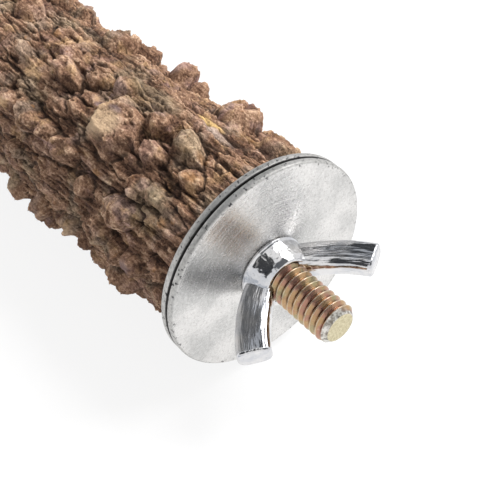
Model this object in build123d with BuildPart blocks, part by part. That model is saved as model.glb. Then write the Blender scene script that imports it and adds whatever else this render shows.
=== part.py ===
from build123d import *

import os
from math import atan2, cos, degrees, pi, radians, sin

# Lengths are in millimetres and angles in degrees. The origin lies on the bolt's
# axis, at the face of the inner washer that grips the cage. X runs out along the
# bolt to the wing nut, the branch lies along -X, and Z is up.

# Branch
branch_length = 150
branch_radius = 16.2
branch_bow = 2.8
bow_angle = 211.5
bark_thickness = 2.4
bark_clearance = 0.05
end_bevel = 0.8
swell_share = 0.035
lobe_share = 0.018
lobe_count = 3
lobe_turn = 40
station_shares = (0, 0.2, 0.4, 0.6, 0.8, 1)
section_points = 24

# Bark knobs
knob_radius = 5.2
knob_height = 3.4
knob_root = 0.4
knob_corners = 6
knob_stretch_share = 1.25
foot_share = 1.2
crown_share = 0.6
crown_tilt = 14
uneven_share = 0.16
spiral_count = 124
spiral_step = 137.5
spiral_size_share = 0.46
spiral_height_share = 0.66
spiral_spread_share = 0.2
mapped_share = 0.43
mapped_angles = (30, 212)

# Corky ridges between the knobs
ridge_radius = 2.0
ridge_height = 0.9
ridge_corners = 4
ridge_stretch_share = 3.2
ridge_count = 56
ridge_step = 222.5
ridge_spread_share = 0.3

# Bolt and nut
thread_radius = 3.45
tip_radius = 2.55
tip_chamfer = 0.9
bolt_reach = 17.66
lag_length = 31.5
lag_radius = 2.9
lag_point_length = 8
lag_tip_radius = 0.4
collar_length = 3
lag_clearance = 0.05
thread_clearance = 0.05

# Washers
washer_radius = 19.05
washer_thickness = 1.4
washer_clearance = 0.42
washer_roll_share = 0.22
jaw_gap = 0.1

# Wing nut
hub_base_wall = 2.5
hub_top_wall = 1.1
hub_height = 4.3
hub_bevel = 0.35
bore_chamfer = 0.45
wing_turn = 12
wing_root_wall = 0.2
wing_root_height = 2.3
wing_knee_radius = 7.7
wing_knee_height = 5.3
wing_tip_radius = 12.41
wing_tip_height = 11.13
wing_depth = 5.4
wing_thickness = 3.5
wing_corner_share = 0.26
wing_end_bevel_share = 0.12

# Places along the bolt and radii about it
branch_near_end = -washer_thickness
outer_washer_face = jaw_gap
nut_seat = outer_washer_face + washer_thickness
washer_bore_radius = thread_radius + washer_clearance
bore_radius = thread_radius + thread_clearance
hub_base_radius = bore_radius + hub_base_wall
hub_top_radius = bore_radius + hub_top_wall
wing_root_radius = bore_radius + wing_root_wall

# Sections of a wing: share of its length, share of wing_depth, share of wing_thickness
wing_section_shares = (
    (0, 0.90, 1.35),
    (0.16, 0.93, 1.18),
    (0.32, 0.97, 1.06),
    (0.5, 1, 1),
    (0.66, 1, 1),
    (0.83, 1, 1),
    (1, 1, 1),
)

# Knobs of the upper side at the bolt end, one by one: share of the branch's
# length from that end, angle about the axis from Y towards Z, share of
# knob_radius, share of knob_height
mapped_knob_shares = (
    (0.172, 115, 1.00, 1.00),
    (0.116, 50, 0.74, 1.05),
    (0.317, 58, 0.60, 0.85),
    (0.297, 46, 0.40, 0.75),
    (0.284, 107, 0.50, 0.95),
    (0.248, 97, 0.36, 0.55),
    (0.214, 91, 0.42, 0.65),
    (0.235, 120, 0.36, 0.55),
    (0.288, 140, 0.50, 0.75),
    (0.252, 140, 0.36, 0.55),
    (0.331, 140, 0.45, 0.65),
    (0.367, 113, 0.36, 0.50),
    (0.229, 44, 0.46, 1.05),
    (0.201, 40, 0.30, 0.65),
    (0.036, 60, 0.48, 0.80),
    (0.130, 98, 0.54, 0.80),
    (0.083, 101, 0.50, 0.80),
    (0.108, 115, 0.44, 0.65),
    (0.096, 134, 0.36, 0.55),
    (0.066, 132, 0.38, 0.50),
    (0.101, 151, 0.62, 0.75),
    (0.051, 114, 0.34, 0.45),
    (0.306, 197, 0.40, 0.75),
    (0.255, 195, 0.50, 0.80),
    (0.192, 189, 0.46, 0.65),
    (0.177, 201, 0.30, 0.55),
    (0.127, 170, 0.55, 0.75),
    (0.096, 174, 0.40, 0.65),
    (0.066, 173, 0.42, 0.80),
    (0.030, 166, 0.32, 0.45),
    (0.105, 203, 0.62, 0.80),
    (0.029, 184, 0.32, 0.50),
    (0.168, 153, 0.32, 0.45),
    (0.214, 144, 0.48, 0.60),
    (0.297, 164, 0.30, 0.50),
    (0.418, 50, 0.38, 0.70),
)


def spiral_knob_shares():
    """Knobs of the remaining bark, wound round the branch in one even spiral."""
    margin_share = knob_radius * spiral_size_share * 2 / branch_length
    for number in range(spiral_count):
        along_share = margin_share + (1 - 2 * margin_share) * number / (spiral_count - 1)
        angle = number * spiral_step % 360
        mapped = mapped_angles[0] < angle < mapped_angles[1]
        if along_share > mapped_share or not mapped:
            wave = sin(number)
            size_share = spiral_size_share + spiral_spread_share * wave
            yield along_share, angle, size_share, spiral_height_share + spiral_spread_share * wave


def ridge_shares():
    """Ridges along the branch, in a spiral of their own: place, angle and share of the ridge sizes."""
    margin_share = ridge_radius * ridge_stretch_share * 2 / branch_length
    for number in range(ridge_count):
        along_share = margin_share + (1 - 2 * margin_share) * number / (ridge_count - 1)
        yield along_share, number * ridge_step % 360, 1 + ridge_spread_share * sin(number)


def across(angle):
    return Vector(0, cos(radians(angle)), sin(radians(angle)))


def branch_centre(along_share):
    bow = across(bow_angle) * branch_bow * sin(pi * along_share)
    return Vector(branch_near_end - branch_length * along_share, bow.Y, bow.Z)


def branch_reach(along_share, angle):
    """Radius of the bark between its knobs: a slight swelling with three soft lobes."""
    swell = 1 + swell_share * sin(pi * along_share)
    return branch_radius * swell * (1 + lobe_share * cos(radians(lobe_count * angle - lobe_turn)))


def branch_sections(depth):
    """Cross-sections of the branch from end to end, depth under the bark's surface."""
    sections = []
    for along_share in station_shares:
        centre = branch_centre(along_share)
        angles = [360 * point / section_points for point in range(section_points)]
        with BuildSketch(Plane.YZ.offset(centre.X)) as section:
            with BuildLine():
                rim = [centre + across(a) * (branch_reach(along_share, a) - depth) for a in angles]
                Polyline(*[(point.Y, point.Z) for point in rim], close=True)
            make_face()
        sections.append(section.sketch)
    return sections


def make_lump(along_share, angle, radius, height, corners, stretch_share):
    """Chipped lump of cork: leaning sides on an uneven outline, under a tilted top."""
    sink = (radius * foot_share) ** 2 / (2 * branch_radius) + knob_root
    seat = branch_centre(along_share) + across(angle) * branch_reach(along_share, angle)
    ground = Plane(origin=seat, x_dir=(1, 0, 0), z_dir=across(angle))
    outline = []
    for corner in range(corners):
        bearing = 2 * pi * corner / corners + radians(angle)
        spread = radius * foot_share * (1 + uneven_share * sin(angle + 2 * corner))
        outline.append((spread * stretch_share * cos(bearing), spread * sin(bearing)))
    lean = atan2(radius * (foot_share - crown_share), sink + height)
    high_side = Vector(cos(radians(2 * angle)), sin(radians(2 * angle)), 0)
    slant = high_side * -sin(radians(crown_tilt)) + Vector(0, 0, cos(radians(crown_tilt)))
    top = Plane(origin=high_side * radius * crown_share + Vector(0, 0, height), z_dir=slant)
    with BuildPart() as lump:
        with BuildSketch(Plane.XY.offset(-sink)):
            with BuildLine():
                Polyline(*outline, close=True)
            make_face()
        extrude(amount=sink + height, taper=degrees(lean))
        split(bisect_by=top, keep=Keep.BOTTOM)
    return lump.part.moved(ground.location)


def make_knob(along_share, angle, size_share, height_share):
    radius = knob_radius * size_share
    return make_lump(along_share, angle, radius, knob_height * height_share, knob_corners, knob_stretch_share)


def make_ridge(along_share, angle, size_share):
    radius = ridge_radius * size_share
    return make_lump(along_share, angle, radius, ridge_height * size_share, ridge_corners, ridge_stretch_share)


def bolt_outline(clearance=0):
    """Half of the bolt along X, from the point in the wood to the chamfered tip."""
    lag_point = branch_near_end - lag_length
    with BuildSketch(Plane.XZ) as outline:
        with BuildLine():
            Polyline(
                (lag_point - clearance, 0),
                (lag_point - clearance, lag_tip_radius + clearance),
                (lag_point + lag_point_length, lag_radius + clearance),
                (branch_near_end - collar_length, lag_radius + clearance),
                (branch_near_end - collar_length, thread_radius + clearance),
                (bolt_reach - tip_chamfer, thread_radius + clearance),
                (bolt_reach, tip_radius + clearance),
                (bolt_reach, 0),
                close=True,
            )
        make_face()
    return outline.sketch


def make_washer(face):
    """Punched fender washer, its rim rolled by the die on both sides."""
    with BuildPart() as washer:
        with BuildSketch(Plane.YZ.offset(face)):
            Circle(washer_radius)
            Circle(washer_bore_radius, mode=Mode.SUBTRACT)
        extrude(amount=washer_thickness)
        rims = washer.edges().filter_by(GeomType.CIRCLE).sort_by(SortBy.RADIUS)
        chamfer(rims[-2:], washer_thickness * washer_roll_share)
    return washer.part


def make_wing(turn):
    """One wing: a bevelled bar that leaves the hub low and curves up to a flat end."""
    outward = across(turn)
    wing_plane = Plane(origin=(nut_seat, 0, 0), x_dir=outward, z_dir=outward.cross(Vector(1, 0, 0)))
    with BuildLine(wing_plane) as spine:
        ThreePointArc(
            (wing_root_radius, wing_root_height),
            (wing_knee_radius, wing_knee_height),
            (wing_tip_radius, wing_tip_height),
        )
    arc = spine.edges()[0]
    with BuildPart() as wing:
        for place_share, depth_share, thickness_share in wing_section_shares:
            section_plane = Plane(origin=arc @ place_share, x_dir=wing_plane.z_dir, z_dir=arc % place_share)
            with BuildSketch(section_plane) as section:
                Rectangle(wing_thickness * thickness_share, wing_depth * depth_share)
                chamfer(section.vertices(), wing_thickness * wing_corner_share)
        loft(ruled=True)
        end_face = wing.faces().filter_by(GeomType.PLANE).sort_by_distance(arc @ 1)[0]
        chamfer(end_face.edges(), wing_thickness * wing_end_bevel_share)
    return wing.part


with BuildPart() as wood_core:
    loft(branch_sections(bark_thickness + bark_clearance), ruled=True)
    revolve(bolt_outline(lag_clearance), axis=Axis.X, mode=Mode.SUBTRACT)

knobs = [make_knob(*shares) for shares in mapped_knob_shares]
knobs += [make_knob(*shares) for shares in spiral_knob_shares()]
ridges = [make_ridge(*shares) for shares in ridge_shares()]

with BuildPart() as bark:
    loft(branch_sections(0), ruled=True)
    chamfer(bark.faces().filter_by(GeomType.PLANE).edges(), end_bevel)
    add(knobs + ridges)
    loft(branch_sections(bark_thickness), ruled=True, mode=Mode.SUBTRACT)

with BuildPart() as hanger_bolt:
    revolve(bolt_outline(), axis=Axis.X)

with BuildPart() as inner_washer:
    add(make_washer(branch_near_end))

with BuildPart() as outer_washer:
    add(make_washer(outer_washer_face))

wings = [make_wing(wing_turn), make_wing(wing_turn + 180)]

with BuildPart() as wing_nut:
    with BuildSketch(Plane.XZ):
        with BuildLine():
            Polyline(
                (nut_seat, 0),
                (nut_seat, hub_base_radius),
                (nut_seat + hub_height, hub_top_radius),
                (nut_seat + hub_height, 0),
                close=True,
            )
        hub_face = make_face()
        chamfer(hub_face.vertices().sort_by(Axis.Y)[-2:], hub_bevel)
    revolve(axis=Axis.X)
    add(wings)
    with BuildSketch(Plane.XZ):
        with BuildLine():
            Polyline(
                (nut_seat, 0),
                (nut_seat, bore_radius + bore_chamfer),
                (nut_seat + bore_chamfer, bore_radius),
                (nut_seat + hub_height - bore_chamfer, bore_radius),
                (nut_seat + hub_height, bore_radius + bore_chamfer),
                (nut_seat + wing_tip_height, bore_radius + bore_chamfer),
                (nut_seat + wing_tip_height, 0),
                close=True,
            )
        make_face()
    revolve(axis=Axis.X, mode=Mode.SUBTRACT)

pieces = {
    "wood_core": wood_core,
    "bark": bark,
    "hanger_bolt": hanger_bolt,
    "inner_washer": inner_washer,
    "outer_washer": outer_washer,
    "wing_nut": wing_nut,
}

os.makedirs("parts", exist_ok=True)
for name, piece in pieces.items():
    piece.part.label = name
    export_step(piece.part, f"parts/{name}.step")
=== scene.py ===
import bpy
import numpy as np
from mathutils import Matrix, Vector


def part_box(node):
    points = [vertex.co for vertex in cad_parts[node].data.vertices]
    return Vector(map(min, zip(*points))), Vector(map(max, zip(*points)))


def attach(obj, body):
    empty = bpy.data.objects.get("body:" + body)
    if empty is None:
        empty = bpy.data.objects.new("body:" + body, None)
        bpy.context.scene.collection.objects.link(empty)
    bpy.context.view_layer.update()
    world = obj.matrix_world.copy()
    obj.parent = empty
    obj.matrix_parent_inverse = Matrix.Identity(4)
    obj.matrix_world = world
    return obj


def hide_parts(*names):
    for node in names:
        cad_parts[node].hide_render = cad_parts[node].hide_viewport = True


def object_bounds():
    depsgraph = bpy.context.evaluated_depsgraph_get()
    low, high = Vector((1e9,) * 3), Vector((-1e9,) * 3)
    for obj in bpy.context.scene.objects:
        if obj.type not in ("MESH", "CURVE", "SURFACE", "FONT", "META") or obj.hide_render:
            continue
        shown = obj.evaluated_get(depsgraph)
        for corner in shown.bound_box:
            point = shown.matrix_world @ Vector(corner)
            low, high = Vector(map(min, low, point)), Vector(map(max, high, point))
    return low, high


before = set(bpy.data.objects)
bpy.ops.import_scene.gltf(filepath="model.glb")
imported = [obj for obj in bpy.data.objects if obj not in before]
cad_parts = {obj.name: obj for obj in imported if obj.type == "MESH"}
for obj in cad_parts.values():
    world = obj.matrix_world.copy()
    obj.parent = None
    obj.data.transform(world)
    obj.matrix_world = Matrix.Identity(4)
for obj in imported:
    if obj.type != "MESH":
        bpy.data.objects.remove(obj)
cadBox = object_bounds()
mm = 0.001  # shapes below are worked out in millimetres
print("frame loaded:", ", ".join(sorted(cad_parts)))


def nodeBox(node):
    low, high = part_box(node)
    return np.array(low) / mm, np.array(high) / mm


# Meshes

def gridQuads(rows, columns, closeRows=False, start=0):
    # quads of a grid numbered row by row, whose columns close into a ring
    row = np.arange(rows if closeRows else rows - 1)[:, None]
    column = np.arange(columns)[None, :]
    nextRow = (row + 1) % rows
    nextColumn = (column + 1) % columns
    corners = [row * columns + column, row * columns + nextColumn,
               nextRow * columns + nextColumn, nextRow * columns + column]
    return start + np.stack(np.broadcast_arrays(*corners), -1).reshape(-1, 4)


def sheetQuads(count):
    # quads of a square grid that is open at its edges
    index = np.arange(count * count).reshape(count, count)
    return np.stack([index[:-1, :-1], index[1:, :-1], index[1:, 1:], index[:-1, 1:]], -1).reshape(-1, 4)


def poleFans(columns, firstPole, lastRow, lastPole, start=0):
    # triangles that close the first row on one pole and the last row on another
    column = np.arange(columns)
    nextColumn = (column + 1) % columns
    pole = np.zeros(columns, int)
    near = np.stack([pole + firstPole, nextColumn, column], -1)
    far = np.stack([lastRow * columns + column, lastRow * columns + nextColumn, pole + lastPole], -1)
    return start + np.concatenate([near, far])


def meshPiece(name, points, quads, triangles=None, attributes=None):
    # points in millimetres go into one smooth mesh; attributes hold 1, 3 or 4 numbers per point
    if triangles is None:
        triangles = np.zeros((0, 3), int)
    mesh = bpy.data.meshes.new(name)
    mesh.vertices.add(len(points))
    mesh.vertices.foreach_set("co", (points * mm).astype(np.float32).ravel())
    loops = np.concatenate([quads.ravel(), triangles.ravel()]).astype(np.int32)
    starts = np.concatenate([np.arange(len(quads)) * 4,
                             quads.size + np.arange(len(triangles)) * 3]).astype(np.int32)
    mesh.loops.add(len(loops))
    mesh.loops.foreach_set("vertex_index", loops)
    mesh.polygons.add(len(starts))
    mesh.polygons.foreach_set("loop_start", starts)
    mesh.polygons.foreach_set("use_smooth", np.ones(len(starts), bool))
    kinds = {1: ("FLOAT", "value"), 3: ("FLOAT_VECTOR", "vector"), 4: ("FLOAT_COLOR", "color")}
    for label, values in (attributes or {}).items():
        kind, field = kinds[np.size(values) // len(points)]
        layer = mesh.attributes.new(label, kind, "POINT")
        layer.data.foreach_set(field, np.asarray(values, np.float32).ravel())
    mesh.update(calc_edges=True)
    mesh.validate()
    piece = bpy.data.objects.new(name, mesh)
    bpy.context.scene.collection.objects.link(piece)
    print("made", name, "with", len(quads) * 2 + len(triangles), "triangles")
    return piece


# Noise on whole arrays of points

def latticeValue(cell, seed):
    # a number from 0 to 1 for each whole-numbered place, mixed from its three coordinates
    mixed = cell[..., 0] * 73856093 ^ cell[..., 1] * 19349663 ^ cell[..., 2] * 83492791 ^ seed * 40503
    mixed = (mixed ^ (mixed >> 13)) & 0x7FFFFFFF
    mixed = (mixed * 1274126177) & 0x7FFFFFFF
    mixed = ((mixed ^ (mixed >> 15)) * 1103515245) & 0x7FFFFFFF
    return (mixed >> 11) % 65536 / 65535


def smoothStep(low, high, value):
    share = np.clip((value - low) / (high - low), 0, 1)
    return share * share * (3 - 2 * share)


def valueNoise(points, seed):
    # random numbers at the corners of unit cells, blended across each cell; from -1 to 1
    cell = np.floor(points).astype(np.int64)
    share = points - cell
    share = share * share * (3 - 2 * share)
    total = 0
    for corner in np.ndindex(2, 2, 2):
        weight = np.prod(np.where(np.array(corner) == 1, share, 1 - share), -1)
        total = total + weight * latticeValue(cell + np.array(corner), seed)
    return 2 * total - 1


def layeredNoise(points, seed, layers=2):
    # value noise at doubling fineness and halving strength
    return sum(valueNoise(points * 2 ** layer, seed + layer) / 2 ** layer for layer in range(layers))


def cellNoise(points, seed):
    # one jittered site in each unit cell: distances to the nearest two sites,
    # then the nearest one's number from 0 to 1 and the way from it
    cell = np.floor(points).astype(np.int64)
    nearest = np.full(points.shape[:-1], np.inf)
    second = nearest.copy()
    number = np.zeros_like(nearest)
    way = np.zeros_like(points)
    for step in np.ndindex(3, 3, 3):
        site = cell + np.array(step) - 1
        jitter = np.stack([latticeValue(site, seed + axis) for axis in range(3)], -1)
        apart = points - site - jitter
        distance = np.linalg.norm(apart, axis=-1)
        closer = distance < nearest
        second = np.where(closer, nearest, np.minimum(second, distance))
        number = np.where(closer, latticeValue(site, seed + 3), number)
        way = np.where(closer[..., None], apart, way)
        nearest = np.where(closer, distance, nearest)
    return nearest, second, number, way


# Shader maths

class Wire:
    # a node's output; operators on it add Math nodes to its tree
    def __init__(self, tree, socket=None):
        self.tree = tree
        self.socket = socket

    def node(self, kind, settings=None, sockets=None, output=0):
        made = self.tree.nodes.new(kind)
        for name, value in (settings or {}).items():
            if name == "stops":
                ramp = made.color_ramp.elements
                while len(ramp) < len(value):
                    ramp.new(1)
                for stop, (place, colour) in zip(ramp, value):
                    stop.position = place
                    stop.color = (*colour, 1)
            else:
                setattr(made, name, value)
        for name, value in (sockets or {}).items():
            if isinstance(value, Wire):
                self.tree.links.new(value.socket, made.inputs[name])
            else:
                made.inputs[name].default_value = value
        return Wire(self.tree, made.outputs[output] if len(made.outputs) else None)

    def maths(self, operation, *values):
        return self.node("ShaderNodeMath", {"operation": operation}, dict(enumerate(values)))

    def __add__(self, other):
        return self.maths("ADD", self, other)

    def __sub__(self, other):
        return self.maths("SUBTRACT", self, other)

    def __rsub__(self, other):
        return self.maths("SUBTRACT", other, self)

    def __mul__(self, other):
        return self.maths("MULTIPLY", self, other)

    __radd__ = __add__
    __rmul__ = __mul__

    def clamp(self):
        return self.maths("MINIMUM", self.maths("MAXIMUM", self, 0.0), 1.0)

    def between(self, low, high):
        # 0 below low, 1 above high, smooth between
        return self.node("ShaderNodeMapRange", {"interpolation_type": "SMOOTHSTEP"},
                         {"Value": self, "From Min": low, "From Max": high})

    def mix(self, first, second):
        # colours blended by this value
        sockets = {0: self, 6: first, 7: second}
        return self.node("ShaderNodeMix", {"data_type": "RGBA"}, sockets, 2)

    def stretched(self, scale):
        return self.node("ShaderNodeVectorMath", {"operation": "MULTIPLY"}, {0: self, 1: scale})

    def noise(self, size, detail=3.0, roughness=0.55):
        # noise from 0 to 1 with grains of that size in millimetres
        sockets = {"Vector": self, "Scale": 1 / (size * mm), "Detail": detail, "Roughness": roughness}
        return self.node("ShaderNodeTexNoise", None, sockets)

    def attribute(self, name):
        return self.node("ShaderNodeAttribute", {"attribute_name": name}, None, "Fac")


def rgb(red, green, blue):
    return (red, green, blue, 1.0)


def offBoltAxis(place):
    # distance from the X axis
    flat = place.stretched((0.0, 1.0, 1.0))
    return place.node("ShaderNodeVectorMath", {"operation": "LENGTH"}, {0: flat}, "Value")


def lineNoise(value, scale, detail):
    # noise along one value only
    sockets = {"W": value, "Scale": scale, "Detail": detail}
    return value.node("ShaderNodeTexNoise", {"noise_dimensions": "1D"}, sockets)


def axisOf(place, axis):
    return place.node("ShaderNodeSeparateXYZ", None, {"Vector": place}, axis)


def newMaterial(name):
    material = bpy.data.materials.new(name)
    material.use_nodes = True
    tree = material.node_tree
    start = Wire(tree)
    place = start.node("ShaderNodeTexCoord", None, None, "Object")
    return material, place, tree.nodes["Principled BSDF"]


def plug(shader, values):
    for name, value in values.items():
        if isinstance(value, Wire):
            value.tree.links.new(value.socket, shader.inputs[name])
        else:
            shader.inputs[name].default_value = value


def bump(height, strength, depth):
    # a Bump node over that height, its depth in millimetres
    sockets = {"Strength": strength, "Distance": depth * mm, "Height": height}
    return height.node("ShaderNodeBump", None, sockets)


# Branch

branch = {
    "radius": 16.2, "bow": 2.8, "bowAngle": 211.5, "swell": 0.035,
    "lobe": 0.018, "lobes": 3, "lobeTurn": 40, "barkDepth": 2.4, "endBevel": 0.8,
}
branchLow, branchHigh = nodeBox("bark")
nearEnd = branchHigh[0]
branchLength = branchHigh[0] - branchLow[0]


def acrossBranch(angle):
    # unit vectors square to the branch, turned from Y towards Z
    return np.stack([np.zeros_like(angle), np.cos(angle), np.sin(angle)], -1)


def branchCentre(share):
    # the axis runs along -X and bows sideways as half a sine wave
    bow = branch["bow"] * np.sin(np.pi * share)
    centre = bow[..., None] * acrossBranch(np.full_like(share, np.radians(branch["bowAngle"])))
    centre[..., 0] = nearEnd - branchLength * share
    return centre


def branchReach(share, angle):
    # radius with a slight swelling at mid length and three soft lobes
    swell = 1 + branch["swell"] * np.sin(np.pi * share)
    lobes = 1 + branch["lobe"] * np.cos(branch["lobes"] * angle - np.radians(branch["lobeTurn"]))
    return branch["radius"] * swell * lobes


# Knobs of the upper side at the bolt end: share of the branch's length from that
# end, angle about the axis, share of the knob radius, share of the knob height
mappedKnobs = np.array((
    (0.172, 115, 1.00, 1.00), (0.116, 50, 0.74, 1.05), (0.317, 58, 0.60, 0.85),
    (0.297, 46, 0.40, 0.75), (0.284, 107, 0.50, 0.95), (0.248, 97, 0.36, 0.55),
    (0.214, 91, 0.42, 0.65), (0.235, 120, 0.36, 0.55), (0.288, 140, 0.50, 0.75),
    (0.252, 140, 0.36, 0.55), (0.331, 140, 0.45, 0.65), (0.367, 113, 0.36, 0.50),
    (0.229, 44, 0.46, 1.05), (0.201, 40, 0.30, 0.65), (0.036, 60, 0.48, 0.80),
    (0.130, 98, 0.54, 0.80), (0.083, 101, 0.50, 0.80), (0.108, 115, 0.44, 0.65),
    (0.096, 134, 0.36, 0.55), (0.066, 132, 0.38, 0.50), (0.101, 151, 0.62, 0.75),
    (0.051, 114, 0.34, 0.45), (0.306, 197, 0.40, 0.75), (0.255, 195, 0.50, 0.80),
    (0.192, 189, 0.46, 0.65), (0.177, 201, 0.30, 0.55), (0.127, 170, 0.55, 0.75),
    (0.096, 174, 0.40, 0.65), (0.066, 173, 0.42, 0.80), (0.030, 166, 0.32, 0.45),
    (0.105, 203, 0.62, 0.80), (0.029, 184, 0.32, 0.50), (0.168, 153, 0.32, 0.45),
    (0.214, 144, 0.48, 0.60), (0.297, 164, 0.30, 0.50), (0.418, 50, 0.38, 0.70),
))
knobs = {
    "radius": 5.2, "height": 3.4, "root": 0.4, "corners": 6, "stretch": 1.25, "foot": 1.2, "crown": 0.6,
    "tilt": 14, "uneven": 0.16, "spiralCount": 124, "spiralStep": 137.5, "spiralSize": 0.46,
    "spiralHeight": 0.66, "spiralSpread": 0.2, "mappedShare": 0.43, "mappedAngles": (30, 212),
}
ridges = {
    "radius": 2.0, "height": 0.9, "corners": 4, "stretch": 3.2, "count": 56, "step": 222.5, "spread": 0.3,
}


def spacedAlong(number, margin):
    # even shares of the branch's length, kept clear of both ends
    return margin + (1 - 2 * margin) * number / (len(number) - 1)


def spiralKnobs():
    # the other knobs wind round the branch by a fixed angle, with sizes in a sine wave
    number = np.arange(knobs["spiralCount"])
    along = spacedAlong(number, knobs["radius"] * knobs["spiralSize"] * 2 / branchLength)
    angle = number * knobs["spiralStep"] % 360
    wave = knobs["spiralSpread"] * np.sin(number)
    rows = np.stack([along, angle, knobs["spiralSize"] + wave, knobs["spiralHeight"] + wave], -1)
    low, high = knobs["mappedAngles"]
    mapped = (along <= knobs["mappedShare"]) & (angle > low) & (angle < high)
    return rows[~mapped]


def lumpRows(along, angle, radius, height, lumps):
    # rows of share of length, angle, radius, height, corners and stretch
    corners = np.full_like(along, lumps["corners"])
    stretch = np.full_like(along, lumps["stretch"])
    return np.stack([along, angle, radius, height, corners, stretch], -1)


def allLumps():
    # every knob and ridge of the solid
    along, angle, size, tallness = np.concatenate([mappedKnobs, spiralKnobs()]).T
    knobRows = lumpRows(along, angle, knobs["radius"] * size, knobs["height"] * tallness, knobs)
    number = np.arange(ridges["count"])
    along = spacedAlong(number, ridges["radius"] * ridges["stretch"] * 2 / branchLength)
    size = 1 + ridges["spread"] * np.sin(number)
    angle = number * ridges["step"] % 360
    ridgeRows = lumpRows(along, angle, ridges["radius"] * size, ridges["height"] * size, ridges)
    return np.concatenate([knobRows, ridgeRows])


barkColours = {
    "raw": (0.66, 0.45, 0.19), "ash": (0.46, 0.36, 0.30), "rust": (0.34, 0.175, 0.07),
    "slate": (0.15, 0.105, 0.115), "tan": (0.46, 0.33, 0.21), "moss": (0.25, 0.21, 0.14),
    "holeShade": (0.012, 0.008, 0.007), "deep": (0.030, 0.015, 0.010), "dark": (0.095, 0.050, 0.032),
    "brown": (0.200, 0.112, 0.070), "light": (0.350, 0.218, 0.142), "pale": (0.640, 0.460, 0.320),
    "greyDark": (0.045, 0.036, 0.022), "greyPale": (0.44, 0.36, 0.24), "violetDark": (0.055, 0.030, 0.032),
    "violetPale": (0.42, 0.27, 0.245), "ochreDark": (0.085, 0.045, 0.020), "ochrePale": (0.58, 0.37, 0.19),
    "rustPatch": (0.36, 0.17, 0.06), "shadedCrevice": (0.020, 0.012, 0.009),
}
# Marked places: share of length, angle, half length and half width in millimetres, strength, colour
barkMarks = (
    (0.112, 73.0, 3.2, 0.9, 0.95, "raw"), (0.086, 78.5, 3.4, 1.1, 0.90, "ash"),
    (0.0605, 100, 1.2, 0.9, 0.55, "rust"), (0.0425, 140, 1.1, 0.8, 0.55, "rust"),
    (0.1586, 142, 0.9, 0.7, 0.5, "rust"), (0.0503, 114, 1.2, 0.7, 0.5, "rust"),
    (0.366, 87.8, 1.4, 0.6, 0.5, "rust"), (0.215, 110.7, 1.0, 0.8, 0.8, "slate"),
    (0.179, 109.5, 1.3, 0.6, 0.8, "slate"), (0.0677, 173.5, 1.5, 1.2, 0.6, "slate"),
    (0.2046, 109.7, 0.8, 0.6, 0.8, "ash"), (0.1767, 118, 3.0, 2.3, 0.85, "tan"),
    (0.0641, 132, 1.6, 1.2, 0.5, "moss"), (0.309, 109.3, 1.6, 1.0, 0.5, "moss"),
    # the hole marks are near-black spots, painted shade for holes that the surface doesn't have
    (0.195, 83.0, 7.5, 2.4, 0.5, "moss"), (0.0394, 131.7, 0.6, 0.5, 1.0, "holeShade"),
    (0.38, 84.4, 0.8, 0.5, 1.0, "holeShade"),
)
skin = {
    "columns": 500, "joinShares": (0.0, 0.19, 0.38, 0.57, 1.0), "steps": (0.2, 0.2, 0.2, 0.36),
    "innerStep": 24, "calm": 2.5, "deepest": 1.7, "boxGap": 0.01,
    "bend": 0.5, "fineBend": 0.24, "drift": 0.7, "shake": 0.07,  # how far places are moved, in millimetres
    "swell": 0.4, "layer": 0.7, "layering": 0.5, "fibre": 0.5, "warts": 0.35, "crag": 0.36, "chips": 0.55,
    "grain": 0.18, "crack": 0.35, "moat": 0.5, "bulge": 0.07, "flare": 0.5, "flareDrop": 0.03, "settle": 0.02,
    "rimEase": 0.6, "lumpReach": 1.9, "crownHeight": 1.5, "footGap": 0.45, "footWidth": 0.35,
    "layerWander": 1.1, "wartSize": 0.42, "chipLean": 0.7, "markWear": 0.75,
    # the two values between which each of these changes smoothly
    "riser": (0.45, 0.9), "wartChance": (0.3, 0.9), "wartFade": (0.1, 0.5), "crackEdge": (0.02, 0.13),
    "crackFade": (0.2, 0.6), "moatChance": (-0.6, 0.4), "moatFade": (0.1, 0.4), "markEdge": (0.55, 1.25),
}
# Noise in the bark: size of the grains in millimetres, or sizes along and across, then a seed
barkNoise = {
    "bend": (2.6, 1), "fineBend": (0.9, 4), "swell": (8, 11), "drift": (6, 15),
    "layer": ((4.0, 2.2, 2.2), 21), "strand": ((11, 0.85, 0.85), 31), "fineStrand": ((6, 0.45, 0.45), 32),
    "crumb": (1.7, 35), "fineCrumb": (0.85, 36), "wart": ((2.6, 2.1, 2.1), 41),
    "crack": ((15.0, 2.4, 2.4), 51), "grain": (0.8, 61), "moat": (2.3, 71), "shake": (0.55, 81),
    "chip": ((1.9, 1.5, 1.5), 91),
}


def barkGrain(kind, points, name):
    # one kind of noise at the size and seed of that name
    size, seed = barkNoise[name]
    return kind(points / size, seed)


def noiseVector(points, seed):
    return np.stack([valueNoise(points, seed + axis) for axis in range(3)], -1)


def turnBetween(angle, other):
    return (angle - other + np.pi) % (2 * np.pi) - np.pi


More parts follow.
